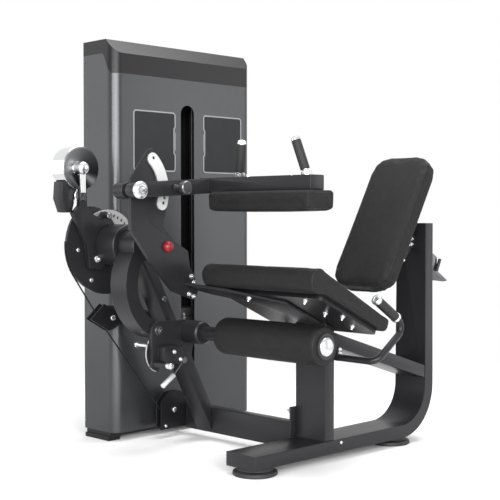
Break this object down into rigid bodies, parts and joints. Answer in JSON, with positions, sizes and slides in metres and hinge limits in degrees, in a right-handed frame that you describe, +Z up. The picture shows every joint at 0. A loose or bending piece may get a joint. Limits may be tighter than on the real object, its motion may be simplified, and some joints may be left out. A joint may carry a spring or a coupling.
{
  "type": "leg extension machine",
  "caption": "Seated leg extension and leg curl machine: covered weight tower, cam and lever with a padded roller, seat, backrest and thigh hold-down on a floor frame.",
  "frame": {"origin": "middle of the footprint's bounding rectangle, on the floor", "axes": "+Z up; +X from the weight tower towards the seat; -Y the way the user faces, +Y towards the backrest"},
  "size_m": [1.247, 1.409, 1.606],
  "materials": {
    "black_paint": "satin black powder coat",
    "chrome": "polished",
    "frame_paint": "satin charcoal metallic powder coat",
    "grey_paint": "textured dark grey powder coat",
    "iron": "black painted",
    "nylon": "black moulded",
    "red_plastic": "glossy dark red",
    "rubber": "matte black",
    "steel": "zinc-plated, satin",
    "upholstery": "matte black grained vinyl"
  },
  "bodies": {
    "frame": {"tower_base": "black_paint", "tower_shroud": "grey_paint", "tower_back": "grey_paint", "tower_cap": "black_paint", "tower_top_beam": "black_paint", "guide_rod_near": "chrome", "guide_rod_far": "chrome", "weights_resting": "iron", "pulley_low_bracket": "black_paint", "pulley_base_bracket": "black_paint", "cable": "rubber", "cross_beam": "frame_paint", "runner_frame": "frame_paint", "seat_post": "frame_paint", "incline_tube": "frame_paint", "foot_front": "rubber", "foot_rear": "rubber", "oblique_post": "frame_paint", "thigh_bracket": "frame_paint", "sector_plate": "steel", "knee_axis_knob": "red_plastic", "seat_pad": "upholstery", "seat_base": "black_paint", "seat_frame": "frame_paint", "seat_handle_near": "frame_paint", "seat_grip_near": "rubber", "seat_handle_far": "frame_paint", "seat_grip_far": "rubber"},
    "weight_carriage": {"weights_lifted": "iron", "weight_head": "iron"},
    "stack_pin": {"selector_pin": "red_plastic"},
    "low_pulley": {"pulley_low": "nylon"},
    "base_pulley": {"pulley_base": "nylon"},
    "turn_pulley": {"pulley_turn": "nylon"},
    "inner_pulley": {"pulley_inner": "nylon"},
    "top_pulley": {"pulley_top": "nylon"},
    "cam": {"cam_disc": "black_paint", "selector_plate": "steel"},
    "lever": {"main_shaft": "steel", "lever_arm": "frame_paint", "counterweight_arm": "black_paint", "counterweight_drum": "chrome", "counterweight_block": "black_paint"},
    "start_stop": {"start_pin": "chrome"},
    "roller_swing": {"roller_bracket": "black_paint", "roller_shaft": "chrome"},
    "roller": {"roller_foam": "upholstery"},
    "roller_catch": {"roller_catch_lever": "steel"},
    "thigh_hold": {"thigh_arm": "frame_paint", "thigh_pivot_pin": "chrome", "thigh_pad": "upholstery", "thigh_handle_near": "chrome", "thigh_grip_near": "rubber", "thigh_handle_far": "chrome", "thigh_grip_far": "rubber"},
    "thigh_stop": {"thigh_pin": "steel"},
    "backrest": {"back_pad": "upholstery", "back_board": "black_paint", "back_slide": "frame_paint"},
    "back_release": {"back_lever": "steel"}
  },
  "joints": [
    {"name": "cam_turn", "type": "hinge", "parent": "frame", "child": "cam", "pos_m": [-0.3645, -0.4805, 0.791], "axis": [-1, 0, 0], "range_deg": [0, 85], "deforming": ["cable"]},
    {"name": "start_adjust", "type": "hinge", "parent": "cam", "child": "lever", "pos_m": [-0.219, -0.4805, 0.791], "axis": [-1, 0, 0], "range_deg": [0, 30]},
    {"name": "start_pin_pull", "type": "slide", "parent": "lever", "child": "start_stop", "axis": [1, 0, 0], "range_m": [-0.006, 0]},
    {"name": "roller_adjust", "type": "hinge", "parent": "lever", "child": "roller_swing", "pos_m": [-0.1255, -0.43485, 0.47354], "axis": [-1, 0, 0], "range_deg": [0, 25]},
    {"name": "roller_spin", "type": "hinge", "parent": "roller_swing", "child": "roller", "pos_m": [0.0975, -0.2875, 0.461], "axis": [1, 0, 0], "continuous": true},
    {"name": "roller_catch_turn", "type": "hinge", "parent": "roller_swing", "child": "roller_catch", "pos_m": [-0.1075, -0.319, 0.354], "axis": [1, 0, 0], "range_deg": [0, 30], "stiffness_Nm_per_rad": 0.6, "springref_deg": -22.92},
    {"name": "thigh_turn", "type": "hinge", "parent": "frame", "child": "thigh_hold", "pos_m": [0.001, -0.6515, 0.993], "axis": [1, 0, 0], "range_deg": [-19.7, 43.8]},
    {"name": "thigh_pin_pull", "type": "slide", "parent": "thigh_hold", "child": "thigh_stop", "axis": [1, 0, 0], "range_m": [-0.006, 0]},
    {"name": "stack_slide", "type": "slide", "parent": "frame", "child": "weight_carriage", "axis": [0, 0, 1], "range_m": [0, 0.2901], "deforming": ["cable"]},
    {"name": "selector_pin_pull", "type": "slide", "parent": "weight_carriage", "child": "stack_pin", "axis": [1, 0, 0], "range_m": [0, 0.075]},
    {"name": "back_slide_move", "type": "slide", "parent": "frame", "child": "backrest", "axis": [0, -1, 0], "range_m": [0, 0.075]},
    {"name": "back_lever_lift", "type": "hinge", "parent": "frame", "child": "back_release", "pos_m": [0.3465, 0.5865, 0.72], "axis": [1, 0, 0], "range_deg": [0, 25]},
    {"name": "low_pulley_spin", "type": "hinge", "parent": "frame", "child": "low_pulley", "pos_m": [-0.3645, -0.4655, 0.508], "axis": [-1, 0, 0], "range_deg": [0, 383]},
    {"name": "base_pulley_spin", "type": "hinge", "parent": "frame", "child": "base_pulley", "pos_m": [-0.3645, -0.1525, 0.112], "axis": [-1, 0, 0], "range_deg": [0, 383]},
    {"name": "turn_pulley_spin", "type": "hinge", "parent": "frame", "child": "turn_pulley", "pos_m": [-0.39, -0.0705, 0.0685], "axis": [0, 0, -1], "range_deg": [0, 649]},
    {"name": "inner_pulley_spin", "type": "hinge", "parent": "frame", "child": "inner_pulley", "pos_m": [-0.547, -0.045, 0.112], "axis": [0, -1, 0], "range_deg": [0, 383]},
    {"name": "top_pulley_spin", "type": "hinge", "parent": "frame", "child": "top_pulley", "pos_m": [-0.553, -0.02575, 1.37], "axis": [0.4567, -0.8896, 0], "range_deg": [0, 395]}
  ],
  "couplings": [
    {"joint": "stack_slide", "follows": "cam_turn", "m_per_rad": 0.1935},
    {"joint": "low_pulley_spin", "follows": "cam_turn", "ratio": 4.4483},
    {"joint": "base_pulley_spin", "follows": "cam_turn", "ratio": 4.4483},
    {"joint": "turn_pulley_spin", "follows": "cam_turn", "ratio": 7.5882},
    {"joint": "inner_pulley_spin", "follows": "cam_turn", "ratio": 4.4483},
    {"joint": "top_pulley_spin", "follows": "cam_turn", "ratio": 4.5905}
  ]
}
